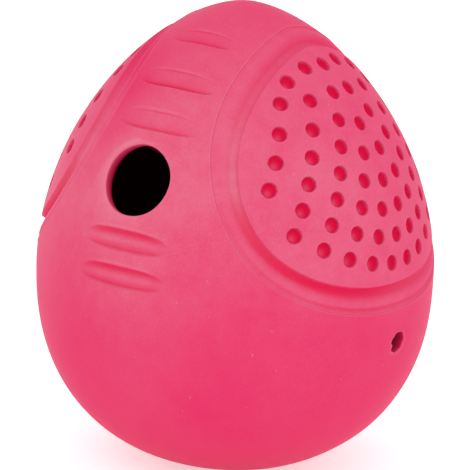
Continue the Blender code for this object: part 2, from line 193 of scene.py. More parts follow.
def oval_reach(outline, angle):
    """Distance from the panel's middle to an oval, looking along an angle from +Y towards +Z."""
    half_width, bottom, top = outline
    waist = bottom + PANEL_WAIST_SHARE * (top - bottom)
    turn = np.linspace(-pi, pi, OVAL_STEPS, endpoint=False)
    rising = np.sin(turn) >= 0
    power = np.where(rising, PANEL_UPPER_POWER, PANEL_LOWER_POWER)
    across = half_width * np.sign(np.cos(turn)) * np.abs(np.cos(turn)) ** (2 / power)
    along = np.where(rising, top - waist, bottom - waist) * np.abs(np.sin(turn)) ** (2 / power)
    rise = waist + along - PANEL_MIDDLE
    return np.interp(angle, np.arctan2(rise, across), np.hypot(across, rise), period=2 * pi)


def side_point(across, height, depth=0.0):
    """Point of the right side at a place seen square on, moved inwards along the normal."""
    out = np.sqrt(np.maximum(egg_radius(height) ** 2 - across ** 2, 0))
    points = np.stack([out, across, height], axis=-1)
    return points - np.asarray(depth)[..., None] * egg_normal(points)


def oval_ring(outline, angle, depth=0.0):
    """Ring of points on an oval of the right side, at one depth."""
    reach = oval_reach(outline, angle)
    return side_point(reach * np.cos(angle), PANEL_MIDDLE + reach * np.sin(angle), depth)


def rounded_edge(outline, angle, outwards, depth=0.0):
    """Rings of a quarter round that turns from the surface into an oval's wall, each with its share."""
    for share in even_shares(ROUND_STEPS):
        inset = EDGE_ROUND * (1 - sin(pi / 2 * share))
        ring = inset_outline(outline, -inset if outwards else inset)
        yield share, oval_ring(ring, angle, depth + EDGE_ROUND * (1 - cos(pi / 2 * share)))


# Rubber body. A hollow moulding with an open oval in each side, so its skin is one closed band: over
# the straps from opening to opening, in at the right one, back along the inside and out at the left.
SHARP_ANGLE = radians(42)
COARSER = 4
HALF_ROWS = 72
ROW_EVEN_SHARE = 0.8
LEVEL_TOP = 0.099
LEVEL_BOTTOM = 0.054
CROWN_SPACING = 0.0006
STRAP_SPACING = 0.00042
RIB_SPACING = 0.00018
BOWL_SPACING = 0.0011
LIP_RISE = 0.00008
LIP_SPAN = 0.00045
LIP_RINGS = 3
# The body's lip by the joint line is painted paler as a highlight.
LIP_HIGHLIGHT = 0.45

RIBS = ((-0.0292, 0.0081, 0.0020, 0.95), (-0.0165, 0.0105, 0.0023, 1.0), (-0.0055, 0.0109, 0.0025, 0.8),
        (0.0056, 0.0112, 0.00275, 1.0), (0.0139, 0.0115, 0.0027, 1.0))
RIB_ZONE = 0.0034
RIB_DEPTH = 0.0010
RIB_END_POWER = 2.8
LOWER_RIB_PROFILE = ((-1.0, -0.85, -0.57, -0.14, 0.10, 0.50, 0.78, 1.0),
                     (0.0, 0.78, 1.0, 0.42, 0.28, 0.54, 0.78, 0.0))
UPPER_RIB_PROFILE = ((-1.0, -0.90, -0.74, -0.30, 0.20, 0.60, 0.84, 1.0),
                     (0.0, 0.34, 0.25, 0.24, 0.36, 0.58, 0.84, 0.0))
RIB_TIP_FADE_POWER = 4
UPPER_RIB_TOP_FADE_POWER = 1.4
# The ribs' hollow, slope and lip values paint shade in their hollows and on slopes that face down, sheen on
# slopes that face up, and a highlight on the lip above each leaf.
RIB_HOLLOW_RECESS = 0.65
RIB_SLOPE_RECESS = 0.35
RIB_SLOPE_SHEEN = 0.35
RIB_LIP_HIGHLIGHT = 0.38
RIB_LIP_PLACE = -1.16
RIB_LIP_WIDTH = 0.13
SLOPE_STEP = 0.04

COVER_LOW, COVER_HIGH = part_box("weight_cover")
WEIGHT_LOW, WEIGHT_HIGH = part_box("base_weight")
WEIGHT_CHAMFER = 0.0040
FLOOR_HEIGHT = COVER_HIGH.z
FLOOR_SHARES = (0.3, 0.6, 0.85, 1.0)

# Painted shade in the hole walls, deepening from the rim inwards.
HOLE_WALL_RECESS = 0.50
HOLE_DEEP_RECESS = 0.75
HOLE_WALL_SHARES = (0.12, 0.3, 0.5, 0.7, 0.88, 1.0)
INNER_COLLAR_SHARES = (0.15, 0.5)
FOLLOW_STEPS = 12

TREAT_HOLE_RADIUS = 0.0086
TREAT_HOLE_HEIGHT = EGG_HEIGHT - 0.03435
TREAT_RIM_BASE = 0.973
TREAT_RIM_WAVES = ((-0.039, 1, pi / 2), (0.011, 2, pi / 2), (0.006, 2, 0.7), (0.004, 5, 0.0))
TREAT_HOLE_ROUND = 0.00034
TREAT_INNER_ROUND = 0.0036
TREAT_BLOCK_HALF_WIDTH = 0.0120
TREAT_BLOCK_HALF_HEIGHT = 0.0104
TREAT_RINGS = 9
# The flash and the halo on the treat hole's left are painted paler as highlights.
FLASH_TURN = radians(128)
FLASH_HALF_TURN = radians(34)
FLASH_HEIGHT = 0.00022
FLASH_PLACE = 0.0011
FLASH_WIDTH = 0.0005
FLASH_HIGHLIGHT = 0.6
HALO_TURN = radians(10)
HALO_WIDTH = 0.0026
HALO_HIGHLIGHT = 0.70

AIR_HOLE_RADIUS = 0.0024
AIR_HOLE_HEIGHT = BELLY_HEIGHT - 0.0094
AIR_RIM_BASE = 1.03
AIR_RIM_WAVES = ((0.05, 2, 0.4), (0.035, 7, 1.0), (0.02, 13, 0.0))
AIR_BURR_SHARE = 0.30
AIR_BURR_TURN = radians(196)
AIR_BURR_HALF_TURN = radians(13)
AIR_HOLE_ROUND = 0.00025
AIR_INNER_ROUND = 0.0005
AIR_BLOCK_ROWS = (60, 68)
AIR_BLOCK_COLUMNS = 12
AIR_RINGS = 7
AIR_DISH = 0.00012
AIR_DISH_WIDTH = AIR_HOLE_RADIUS / sqrt(2)
# The air hole's wall is painted darker towards the chamber as shade.
AIR_WALL_SHADE = 0.72


class Skin:
    """Points and faces of one piece, gathered patch by patch, with three marks at each point.

    The recess mark is 1 where the surface is sunk and 0 on the open outside; it paints hollows a deep red as
    painted shade. The second mark makes edges and slopes paler, partly as wear where teeth and floors catch
    them and partly as painted highlight and sheen. The inside mark paints the surface near black as painted
    shade: 1 where it faces the chamber, less in hole walls and dimple creases.
    """

    MARKS = ("recess", "rub_and_sheen", "inside")

    def __init__(self):
        self.points = []
        self.marks = []
        self.faces = []
        self.count = 0

    def place(self, points, recess=0.0, rub_and_sheen=0.0, inside=0.0):
        """Add a grid of points and give back the grid of their numbers."""
        shape = points.shape[:-1]
        self.points.append(points.reshape(-1, 3))
        marks = np.stack([np.broadcast_to(mark, shape) for mark in (recess, rub_and_sheen, inside)], axis=-1)
        self.marks.append(marks.reshape(-1, len(self.MARKS)))
        numbers = self.count + np.arange(np.prod(shape)).reshape(shape)
        self.count += numbers.size
        return numbers

    def place_inside(self, points):
        """Add a grid of points that faces the chamber, marked sunk and inside, so it is painted near black
        as shade.
        """
        return self.place(points, 1.0, inside=1.0)

    def cover(self, numbers, around=False, keep=None):
        """Lay quads between neighbours of a grid; around closes the grid along its second axis."""
        if around:
            numbers = np.concatenate([numbers, numbers[:, :1]], axis=1)
        quads = np.stack([numbers[:-1, :-1], numbers[:-1, 1:], numbers[1:, 1:], numbers[1:, :-1]], axis=-1)
        self.faces.append(quads[keep] if keep is not None else quads.reshape(-1, 4))

    def stitch(self, fine, coarse):
        """Join a fine ring to a coarse one: each coarse edge takes an equal run of fine edges."""
        run = len(fine) // len(coarse)
        first = run * np.arange(len(coarse))[:, None]
        runs = fine[(first + np.arange(run + 1)) % len(fine)]
        self.faces.append(np.concatenate([runs, np.roll(coarse, -1)[:, None], coarse[:, None]], axis=1))

    def close(self, ring, height):
        """Close a ring on one point of the egg's axis, out of sight."""
        tip = self.place_inside(np.array([[0.0, 0.0, height]]))
        self.faces.append(np.stack([ring, np.roll(ring, -1), np.full(len(ring), tip[0])], axis=-1))

    def piece(self, name, uneven=True):
        """Make the mesh, turn its faces outwards and shade it smooth."""
        corners = np.concatenate([faces.ravel() for faces in self.faces])
        sizes = np.concatenate([np.full(len(faces), faces.shape[1]) for faces in self.faces])
        starts = np.concatenate([[0], np.cumsum(sizes)[:-1]])
        used, corners = np.unique(corners, return_inverse=True)
        points = np.concatenate(self.points)[used]
        points = settled(points) if uneven else points
        mesh = bpy.data.meshes.new(name)
        mesh.vertices.add(len(used))
        mesh.vertices.foreach_set("co", points.astype(np.float32).ravel())
        mesh.loops.add(len(corners))
        mesh.loops.foreach_set("vertex_index", corners.astype(np.int32))
        mesh.polygons.add(len(sizes))
        mesh.polygons.foreach_set("loop_start", starts.astype(np.int32))
        mesh.update(calc_edges=True)
        marks = np.concatenate(self.marks)[used].astype(np.float32)
        for column, mark in enumerate(self.MARKS):
            attribute = mesh.attributes.new(mark, "FLOAT", "POINT")
            attribute.data.foreach_set("value", np.ascontiguousarray(marks[:, column]))
        shape = bmesh.new()
        shape.from_mesh(mesh)
        bmesh.ops.recalc_face_normals(shape, faces=shape.faces)
        shape.to_mesh(mesh)
        shape.free()
        mesh.shade_smooth()
        mesh.set_sharp_from_angle(angle=SHARP_ANGLE)
        thing = bpy.data.objects.new(name, mesh)
        bpy.context.scene.collection.objects.link(thing)
        return thing


def edge_loop(grid, first_row, last_row, first_column, last_column):
    """The part of a grid that runs round the edge of a block, once about."""
    top = grid[first_row, first_column:last_column]
    right = grid[first_row:last_row, last_column]
    bottom = grid[last_row, last_column:first_column:-1]
    left = grid[last_row:first_row:-1, first_column]
    return np.concatenate([top, right, bottom, left])


def level_ring(radius, height, turn):
    """Ring about +Z at a height, as points or as directions."""
    return np.stack([radius * np.cos(turn), radius * np.sin(turn), height + 0 * turn], axis=-1)


def bell(place, middle, width):
    """Bell of height 1: e to the minus square of the distance from its middle in widths."""
    return np.exp(-((place - middle) / width) ** 2)


def smooth_run(places, values, at):
    """Smooth run through a few values: eased cubic steps whose slopes never overshoot."""
    places, values = np.array(places), np.array(values)
    rise = np.diff(values) / np.diff(places)
    slope = np.zeros(len(values))
    same = rise[1:] * rise[:-1] > 0
    slope[1:-1][same] = 2 / (1 / rise[1:][same] + 1 / rise[:-1][same])
    part = np.clip(np.searchsorted(places, at) - 1, 0, len(places) - 2)
    width = places[part + 1] - places[part]
    t = (at - places[part]) / width
    start = values[part] * (1 + 2 * t) * (1 - t) ** 2 + slope[part] * width * t * (1 - t) ** 2
    end = values[part + 1] * (3 - 2 * t) * t ** 2 - slope[part + 1] * width * t ** 2 * (1 - t)
    return start + end


def rib_rows():
    """Distance down the front from the crown, half length, half height and strength of each rib."""
    hole = float(meridian_length(TREAT_HOLE_HEIGHT))
    return [(hole + place + (TREAT_HOLE_RADIUS if place > 0 else -TREAT_HOLE_RADIUS), *rest)
            for place, *rest in RIBS]


def rib_relief(points):
    """Depth, recess and rub of the ribs: blunt leaves, cut in deepest at their edge by the hole.

    A leaf is a superellipse laid square on its middle, so its tips drop by x^2 n_z / 2r below the level
    line. Down across it the depth runs smoothly through a few shares, and it fades out towards both tips.
    Painted sheen lies on the slopes that face up, painted shade in the hollows and on the slopes that face
    down, and a painted highlight on the lip above each leaf.
    """
    across = points[..., 0]
    down = meridian_length(points[..., 2])
    depth, recess, rub_and_sheen = np.zeros((3,) + across.shape)
    for place, half_length, leaf_height, strength in rib_rows():
        height = np.interp(place, MERIDIAN, OUTSIDE_HEIGHTS)
        radius = egg_radius(height)
        lean = egg_lean(height) / radius
        drop = across ** 2 * (-lean / sqrt(1 + lean ** 2)) / (2 * radius)
        lower = height < TREAT_HOLE_HEIGHT
        run = LOWER_RIB_PROFILE if lower else UPPER_RIB_PROFILE
        along = np.clip(np.abs(across / half_length), 0, 1)
        half_height = leaf_height * (1 - along ** RIB_END_POWER) ** (1 / RIB_END_POWER)
        whole_share = (down - place - drop) / np.maximum(half_height, TINY)
        share = np.clip(whole_share, -1, 1)
        front = (along < 1) & (points[..., 1] < 0)
        top_power = RIB_TIP_FADE_POWER if lower else UPPER_RIB_TOP_FADE_POWER
        fade_power = top_power + (RIB_TIP_FADE_POWER - top_power) * (share + 1) / 2
        fade = np.where(front & (np.abs(share) < 1), 1 - along ** fade_power, 0)
        profile = strength * smooth_run(*run, share)
        above = smooth_run(*run, np.clip(share - SLOPE_STEP, -1, 1))
        below = smooth_run(*run, np.clip(share + SLOPE_STEP, -1, 1))
        slope = np.tanh((below - above) / (2 * SLOPE_STEP))
        depth += RIB_DEPTH * fade * profile
        # Painted shade in the hollow and on slopes that face down, painted sheen on slopes that face up.
        recess += fade * (RIB_HOLLOW_RECESS * profile ** 2 + RIB_SLOPE_RECESS * np.maximum(slope, 0) ** 2)
        rub_and_sheen += fade * RIB_SLOPE_SHEEN * np.maximum(-slope, 0)
        # Painted highlight on the lip just above the leaf.
        lip = bell(whole_share, RIB_LIP_PLACE, RIB_LIP_WIDTH)
        rub_and_sheen += np.where(front, RIB_LIP_HIGHLIGHT * (1 - along ** 2) * lip, 0)
    return depth, recess, rub_and_sheen


def column_angles():
    """Angles of the columns round the opening and round the middle line of the egg.

    Between two levels of the front strap a column runs level. Above and below them, the opening's
    edge and the middle line are shared out evenly by length. The back is the front's mirror image,
    with wider columns.
    """
    side = np.linspace(pi / 2, 3 * pi / 2, OVAL_STEPS)
    edge = oval_ring(JOINT_LINE, side)
    length = np.concatenate([[0], np.cumsum(np.linalg.norm(np.diff(edge, axis=0), axis=1))])
    level = off_axis(edge - EGG_MIDDLE)
    top = np.argmax(edge[:, 2] < LEVEL_TOP)
    low = np.argmax(edge[:, 2] < LEVEL_BOTTOM)
    middle = level.copy()
    middle[:top] = level[top] * length[:top] / length[top]
    middle[low:] = level[low] + (pi - level[low]) * (length[low:] - length[low]) / (length[-1] - length[low])

    spacing = np.where(OUTSIDE_HEIGHTS > LEVEL_TOP, CROWN_SPACING, STRAP_SPACING)
    spacing = np.where(OUTSIDE_HEIGHTS < LEVEL_BOTTOM - RIB_ZONE, BOWL_SPACING, spacing)
    for place, *_ in rib_rows():
        spacing = np.where(np.abs(MERIDIAN - place) < RIB_ZONE, RIB_SPACING, spacing)
    turn = np.arctan2(OUTSIDE_RADII, OUTSIDE_HEIGHTS - EGG_MIDDLE[2])
    halves = []
    for steps in (spacing, np.full(len(spacing), BOWL_SPACING)):
        count = np.concatenate([[0], np.cumsum(np.diff(MERIDIAN) / ((steps[1:] + steps[:-1]) / 2))])
        columns = COARSER * round(count[-1] / COARSER)
        halves.append(np.interp(np.linspace(0, count[-1], columns + 1), count, turn))
    front, back = halves
    front_side = np.interp(front, middle, side)
    back_side = pi - np.interp(back, middle, side)[-2:0:-1]
    return np.concatenate([front_side, back_side]), np.concatenate([front, 2 * pi - back[-2:0:-1]])


def spread(edge, middle, profile):
    """Grid from the left opening over the middle line to the right one.

    Each row's share picks a direction on the great arc between the column's middle and its edge, and
    the ray in that direction meets the profile. The left half is the right half's mirror image.
    """
    step = np.arange(-HALF_ROWS, HALF_ROWS + 1) / HALF_ROWS
    share = np.abs(ROW_EVEN_SHARE * step + (1 - ROW_EVEN_SHARE) * step ** 3)[:, None, None]
    towards = unit(edge - EGG_MIDDLE)
    between = np.arccos(np.clip((towards * middle).sum(-1, keepdims=True), -1, 1))
    rays = (np.sin((1 - share) * between) * middle + np.sin(share * between) * towards) / np.sin(between)
    rays[..., 0] *= np.where(step < 0, -1, 1)[:, None]
    return on_profile(rays, *profile)


def chamber_profile():
    """Inside of the wall, one thickness in from the outside, from the crown down to the floor."""
    lean = egg_lean(OUTSIDE_HEIGHTS) / np.maximum(OUTSIDE_RADII, TINY)
    tilt = np.sqrt(1 + lean ** 2)
    radii = OUTSIDE_RADII - WALL / tilt
    heights = OUTSIDE_HEIGHTS + WALL * lean / tilt
    wall = (OUTSIDE_HEIGHTS > FLOOR_HEIGHT / 2) & (radii > 0)
    radii, heights = radii[wall], heights[wall]
    corner = np.interp(-FLOOR_HEIGHT, -heights, radii)
    wall = heights > FLOOR_HEIGHT
    return (np.concatenate([[0.0], radii[wall], [corner]]),
            np.concatenate([[EGG_HEIGHT - WALL], heights[wall], [FLOOR_HEIGHT]]))


def hole_frame(point):
    """Axes at a hole: along the egg, up its surface and out along its normal."""
    normal = egg_normal(point)
    across = unit(np.cross([0.0, 0.0, 1.0], normal))
    return across, np.cross(normal, across), normal


def around_hole(centre, axes, turn, reach, profile):
    """Points of a profile that lie straight over turns and distances in a hole's own plane."""
    across, up, out = axes
    flat = centre + (reach * np.cos(turn))[..., None] * across + (reach * np.sin(turn))[..., None] * up
    points = flat
    for _ in range(FOLLOW_STEPS):
        rise = (on_profile(points - EGG_MIDDLE, *profile) - centre) @ out
        points = flat + rise[..., None] * out
    return points


def pierce(skin, outer, inner, block, centre, rim, rounding, inner_rounding, rings, relief, wall_shade):
    """Take a block out of the skin's two layers and lead both down to the wall of a round hole.

    Outside, rings close in from the block's edge to the hole's rounded rim. The wall runs straight
    along the hole's axis, turns out through the inner round, and coarser rings lead to the inner
    block's edge. Both layers are given as their grid of numbers and their grid of points.
    """
    axes = hole_frame(centre)

    def seen(points):
        """Turn and distance of each point about the hole's axis."""
        across, up = (points - centre) @ axes[0], (points - centre) @ axes[1]
        return np.arctan2(up, across), np.hypot(across, up)

    numbers, points = outer
    turn, start = seen(edge_loop(points, *block))
    radius = rim(turn)
    grid = [edge_loop(numbers, *block)]
    for share in even_shares(rings):
        reach = start + share * (radius + rounding - start)
        ring = around_hole(centre, axes, turn, reach, OUTSIDE)
        depth, *marks = relief(ring, reach - radius, turn)
        grid.append(skin.place(ring - depth[..., None] * axes[2], *marks))
    # The rounded rim is painted paler as a highlight, and painted shade deepens from it into the hole.
    for share in even_shares(ROUND_STEPS + 1):
        reach = radius + rounding * (1 - sin(pi / 2 * share))
        ring = around_hole(centre, axes, turn, reach, OUTSIDE)
        depth = relief(ring, reach - radius, turn)[0] + rounding * (1 - cos(pi / 2 * share))
        ring = ring - depth[..., None] * axes[2]
        grid.append(skin.place(ring, HOLE_WALL_RECESS * share, (1 - share) ** 2))
    wall_end = around_hole(centre, axes, turn, radius, CHAMBER) + inner_rounding * axes[2]
    # Painted shade down the wall, darker in the air hole's wall.
    for share in HOLE_WALL_SHARES:
        recess = HOLE_WALL_RECESS + (HOLE_DEEP_RECESS - HOLE_WALL_RECESS) * share
        grid.append(skin.place(ring + share * (wall_end - ring), recess, inside=wall_shade * sqrt(share)))
    # The inner round fades to near black as painted shade.
    for share in even_shares(ROUND_STEPS + 1):
        reach = radius + inner_rounding * (1 - cos(pi / 2 * share))
        ring = around_hole(centre, axes, turn, reach, CHAMBER)
        ring = ring + inner_rounding * (1 - sin(pi / 2 * share)) * axes[2]
        grid.append(skin.place(ring, 1.0, inside=wall_shade + (1 - wall_shade) * share ** 3))
    skin.cover(np.stack(grid), around=True)

    numbers, points = inner
    block = [place // COARSER for place in block]
    far_turn, far = seen(edge_loop(points, *block))
    near_turn = turn[::COARSER]
    near = rim(near_turn) + inner_rounding
    lag = (far_turn - near_turn + pi) % (2 * pi) - pi
    collar = []
    for share in INNER_COLLAR_SHARES:
        ring = around_hole(centre, axes, near_turn + share * lag, near + share * (far - near), CHAMBER)
        collar.append(skin.place_inside(ring))
    collar.append(edge_loop(numbers, *block))
    skin.stitch(grid[-1], collar[0])
    skin.cover(np.stack(collar), around=True)


def without(shape, *blocks):
    """Marks the cells of a grid to keep, with whole blocks left out."""
    keep = np.ones(shape, bool)
    for first_row, last_row, first_column, last_column in blocks:
        keep[first_row:last_row, first_column:last_column] = False
    return keep


def snapped(near):
    """First and last place of a run of marks, moved to the nearest coarse row or column."""
    places = np.flatnonzero(near)
    return COARSER * round(places[0] / COARSER), COARSER * round(places[-1] / COARSER)


def wavy(turn, base, waves):
    """Run round a hole: a base and the sum of waves, each with a height, a count and a start."""
    return base + sum(height * np.sin(count * turn + start) for height, count, start in waves)


def treat_rim(turn):
    """Radius of the treat hole, a hair out of round and off centre as moulded."""
    return TREAT_HOLE_RADIUS * wavy(turn, TREAT_RIM_BASE, TREAT_RIM_WAVES)


def air_rim(turn):
    """Radius of the air hole: torn by its pin, with a burr at the front and ragged edges beside it."""
    burr = AIR_BURR_SHARE * bell(turn % (2 * pi), AIR_BURR_TURN, AIR_BURR_HALF_TURN)
    return AIR_HOLE_RADIUS * (wavy(turn, AIR_RIM_BASE, AIR_RIM_WAVES) - burr)


def treat_relief(points, margin, turn):
    """Depth, recess and rub round the treat hole: the ribs, a thin moulding flash and a pale halo.

    The flash stands at the rim's upper left and is painted paler as a highlight, and a pale halo of painted
    highlight spreads over the hole's left side.
    """
    depth, recess, rub_and_sheen = rib_relief(points)
    flash = bell(turn, FLASH_TURN, FLASH_HALF_TURN) * bell(margin, FLASH_PLACE, FLASH_WIDTH)
    left = (1 - np.cos(turn - HALO_TURN)) / 2
    halo = HALO_HIGHLIGHT * left * np.exp(-np.maximum(margin, 0) / HALO_WIDTH)
    return depth - FLASH_HEIGHT * flash, recess, rub_and_sheen + halo + FLASH_HIGHLIGHT * flash


def air_relief(points, margin, turn):
    """Depth and marks round the air hole: a slight drawn-in dish with a paler edge."""
    return AIR_DISH * bell(margin, 0, AIR_DISH_WIDTH), 0.0, bell(margin, 0, AIR_HOLE_ROUND)


CHAMBER = chamber_profile()
side_angle, middle_angle = column_angles()
middle_line = np.stack([0 * middle_angle, -np.sin(middle_angle), np.cos(middle_angle)], axis=-1)
body = Skin()

shoulder = inset_outline(JOINT_LINE, -EDGE_ROUND - LIP_SPAN)
outer_points = spread(oval_ring(shoulder, side_angle), middle_line, OUTSIDE)
outer_depth, *outer_marks = rib_relief(outer_points)
outer_laid = outer_points - outer_depth[..., None] * egg_normal(outer_points)
outer_numbers = body.place(outer_laid, *outer_marks)

throat = inset_outline(JOINT_LINE, LAP_WIDTH)
inner_edge = oval_ring(throat, side_angle[::COARSER], WALL)
inner_points = spread(inner_edge, middle_line[::COARSER], CHAMBER)[::COARSER]
inner_numbers = body.place_inside(inner_points)

middle_run = outer_points[HALF_ROWS]
off_hole = np.abs(meridian_length(middle_run[:, 2]) - meridian_length(TREAT_HOLE_HEIGHT))
off_hole = np.where(middle_run[:, 1] < 0, off_hole, np.inf)
treat_columns = snapped(off_hole < TREAT_BLOCK_HALF_HEIGHT)
treat_rows = snapped(np.abs(outer_points[:, np.argmin(off_hole), 0]) < TREAT_BLOCK_HALF_WIDTH)
treat_block = (*treat_rows, *treat_columns)
foot_column = int(np.argmin(middle_run[:, 2] + np.abs(middle_run[:, 1])))
air_block = (HALF_ROWS + AIR_BLOCK_ROWS[0], HALF_ROWS + AIR_BLOCK_ROWS[1],
             foot_column - AIR_BLOCK_COLUMNS, foot_column + AIR_BLOCK_COLUMNS)

chamber_angle = off_axis(inner_points - EGG_MIDDLE)
floor_angle = atan2(CHAMBER[0][-1], CHAMBER[1][-1] - EGG_MIDDLE[2])
floor_columns = np.flatnonzero(chamber_angle[HALF_ROWS // COARSER] > floor_angle)
floor_rows = np.flatnonzero(chamber_angle[:, foot_column // COARSER] > floor_angle)
floor_block = (floor_rows[0] - 1, floor_rows[-1] + 1, floor_columns[0] - 1, floor_columns[-1] + 1)

outer_keep = without((2 * HALF_ROWS, len(side_angle)), treat_block, air_block)
body.cover(outer_numbers, around=True, keep=outer_keep)
inner_blocks = [[place // COARSER for place in block] for block in (treat_block, air_block)]
inner_keep = without((2 * HALF_ROWS // COARSER, len(side_angle) // COARSER), *inner_blocks, floor_block)
body.cover(inner_numbers, around=True, keep=inner_keep)

treat_centre = np.array([0.0, -float(egg_radius(TREAT_HOLE_HEIGHT)), TREAT_HOLE_HEIGHT])
air_centre = np.array([float(egg_radius(AIR_HOLE_HEIGHT)), 0.0, AIR_HOLE_HEIGHT])
outer, inner = (outer_numbers, outer_points), (inner_numbers, inner_points)
pierce(body, outer, inner, treat_block, treat_centre, treat_rim, TREAT_HOLE_ROUND, TREAT_INNER_ROUND,
       TREAT_RINGS, treat_relief, 0.0)
pierce(body, outer, inner, air_block, air_centre, air_rim, AIR_HOLE_ROUND, AIR_INNER_ROUND,
       AIR_RINGS, air_relief, AIR_WALL_SHADE)

for way, end in ((1.0, -1), (-1.0, 0)):
    side = np.array([way, 1.0, 1.0])
    wall = [outer_numbers[end]]
    # Painted highlight on the lip and its round, and painted shade down the round into the gap.
    for share in even_shares(LIP_RINGS):
        outline = inset_outline(JOINT_LINE, -EDGE_ROUND - LIP_SPAN * (1 - share))
        rise = LIP_RISE * sin(pi / 2 * share) ** 2
        wall.append(body.place(oval_ring(outline, side_angle, -rise) * side, 0.0, LIP_HIGHLIGHT * share))
    for share, ring in rounded_edge(JOINT_LINE, side_angle, outwards=True, depth=-LIP_RISE):
        wall.append(body.place(ring * side, JOINT_RECESS * share, LIP_HIGHLIGHT * (1 - share)))
    wall.append(body.place(oval_ring(JOINT_LINE, side_angle, LAP_DEPTH) * side, 1.0))
    wall.append(body.place(oval_ring(throat, side_angle, LAP_DEPTH) * side, 1.0))
    wall.append(body.place_inside(oval_ring(throat, side_angle, WALL - LAP_STEP) * side))
    body.cover(np.stack(wall), around=True)
    body.stitch(wall[-1], inner_numbers[end])

floor_edge = edge_loop(inner_points, *floor_block)
floor_turn = np.arctan2(floor_edge[:, 1], floor_edge[:, 0])
start_angle = edge_loop(chamber_angle, *floor_block)
floor = [edge_loop(inner_numbers, *floor_block)]
for share in FLOOR_SHARES:
    angle = start_angle + share * (floor_angle - start_angle)
    rays = level_ring(np.sin(angle), np.cos(angle), floor_turn)
    floor.append(body.place_inside(on_profile(rays, *CHAMBER)))
cover_radius = COVER_HIGH.x + BOND_GAP
cover_seat = COVER_LOW.z - BOND_GAP
weight_radius = WEIGHT_HIGH.x + BOND_GAP
weight_seat = WEIGHT_LOW.z - BOND_GAP
for radius, height in ((cover_radius, FLOOR_HEIGHT), (cover_radius, cover_seat), (weight_radius, cover_seat),
                       (weight_radius, weight_seat + WEIGHT_CHAMFER),
                       (weight_radius - WEIGHT_CHAMFER, weight_seat)):
    floor.append(body.place_inside(level_ring(radius, height, floor_turn)))
body.cover(np.stack(floor), around=True)
body.close(floor[-1], weight_seat)
rubber_body = body.piece("rubber_body")

BODY_COLOR = (0.81, 0.011, 0.121, 1.0)
BODY_BLOOM_COVER = 0.165
# The bloom is thickest in a soft spot at the front as a painted sheen, and thinned in a few spots as painted
# shade.
BODY_SHEEN_SPOT = ((0.004, -0.045, 0.074), (0.048, 0.060, 0.042))
BODY_SHADE_SPOTS = (((-0.015, -0.025, 0.095), (0.010, 0.016, 0.015), 0.75),
             ((0.024, -0.038, 0.037), (0.020, 0.022, 0.024), 0.50),
             ((-0.018, -0.042, 0.034), (0.018, 0.022, 0.022), 0.42))
BLOOM_COLOR = (0.86, 0.72, 0.78, 1.0)
DUST_COLOR = (0.94, 0.72, 0.78, 1.0)
# Deep red painted into hollows as shade, and near black painted on the chamber as shade.
RECESS_SHADE_COLOR = (0.80, 0.004, 0.080, 1.0)
CHAMBER_SHADE_COLOR = (0.06, 0.003, 0.006, 1.0)
CLOUDS = (0.018, 3.0, (0.34, 0.66), 0.0)
MOTTLE = (0.0032, 3.0, (0.30, 0.70), 0.3)
GRAIN = (0.00045, 2.0, (0.25, 0.75), 0.7)
SPECKS = (0.0008, 1.0, (0.765, 0.79), 1.1)
BLOTCH_SKEW = 1.7
BELL_BASE = 0.368
BLOOM_LEAST_SHARE = 0.21
EVEN_COVER = 0.50
CLOUD_COVER = 0.34
MOTTLE_COVER = 0.26
GRAIN_COVER = 0.40
RUB_AND_SHEEN_COVER = 0.13
DUST_COVER = 0.12
DUST_LOST = 0.8
CHAMBER_SHADE_COVER = 0.9
RUBBER_ROUGHNESS = 0.52
MOTTLE_ROUGHNESS = 0.08
RUB_AND_SHEEN_ROUGHNESS = -0.08
RECESS_ROUGHNESS = 0.25
GRAIN_HEIGHT = 0.5
MOTTLE_HEIGHT = 0.5
DUST_HEIGHT = 0.6
RUBBER_BUMP = {"Strength": 0.35, "Distance": 0.00006}
RUBBER_SPECULAR = 0.10


def link(tree, source, target):
    """Join an output to an input, or set the input to a plain value."""
    if isinstance(source, (int, float, tuple)):
        target.default_value = source
    else:
        tree.links.new(source, target)


def add_node(tree, kind, inputs, **settings):
    """Outputs of a new node, whose inputs take other outputs or plain values."""
    made = tree.nodes.new("ShaderNode" + kind)
    for name, value in settings.items():
        setattr(made, name, value)
    for socket, source in inputs.items():
        link(tree, source, made.inputs[socket])
    return made.outputs


def worked(tree, operation, first, second, third=0.0):
    """One step of arithmetic on masks."""
    return add_node(tree, "Math", {0: first, 1: second, 2: third}, operation=operation)[0]


def summed(tree, base, *parts):
    """A base and the sum of masks, each times its share."""
    for mask, share in parts:
        base = worked(tree, "MULTIPLY_ADD", mask, share, base)
    return base


def product(tree, first, *others):
    """Masks times each other."""
    for other in others:
        first = worked(tree, "MULTIPLY", first, other)
    return first


def mixed(tree, share, first, second):
    """A colour between two, by a mask."""
    return add_node(tree, "Mix", {"Factor": share, "A": first, "B": second}, data_type="RGBA")["Result"]


def blotches(tree, place, size, detail, contrast, away):
    """Mask of soft blotches of a size in metres: noise whose middle range runs from 0 to 1."""
    moved = add_node(tree, "VectorMath", {0: place, 1: (away, BLOTCH_SKEW * away, -away)}, operation="ADD")
    noise = add_node(tree, "TexNoise", {"Vector": moved[0], "Scale": 1 / size, "Detail": detail})
    least, most = contrast
    return add_node(tree, "MapRange", {"Value": noise["Fac"], "From Min": least, "From Max": most})["Result"]


def spot(tree, place, centre, reach):
    """Soft spot, 1 at its centre: a bell over the distance, measured in its reach along each axis."""
    off = add_node(tree, "VectorMath", {0: place, 1: centre}, operation="SUBTRACT")[0]
    share = add_node(tree, "VectorMath", {0: off, 1: reach}, operation="DIVIDE")[0]
    square = add_node(tree, "VectorMath", {0: share, 1: share}, operation="DOT_PRODUCT")["Value"]
    return worked(tree, "POWER", BELL_BASE, square)


def new_material(name):
    """New material and its node tree."""
    material = bpy.data.materials.new(name)
    material.use_nodes = True
    return material, material.node_tree


def dress(tree, inputs):
    """Give outputs or plain values to inputs of a material's shader."""
    for socket, source in inputs.items():
        link(tree, source, tree.nodes["Principled BSDF"].inputs[socket])


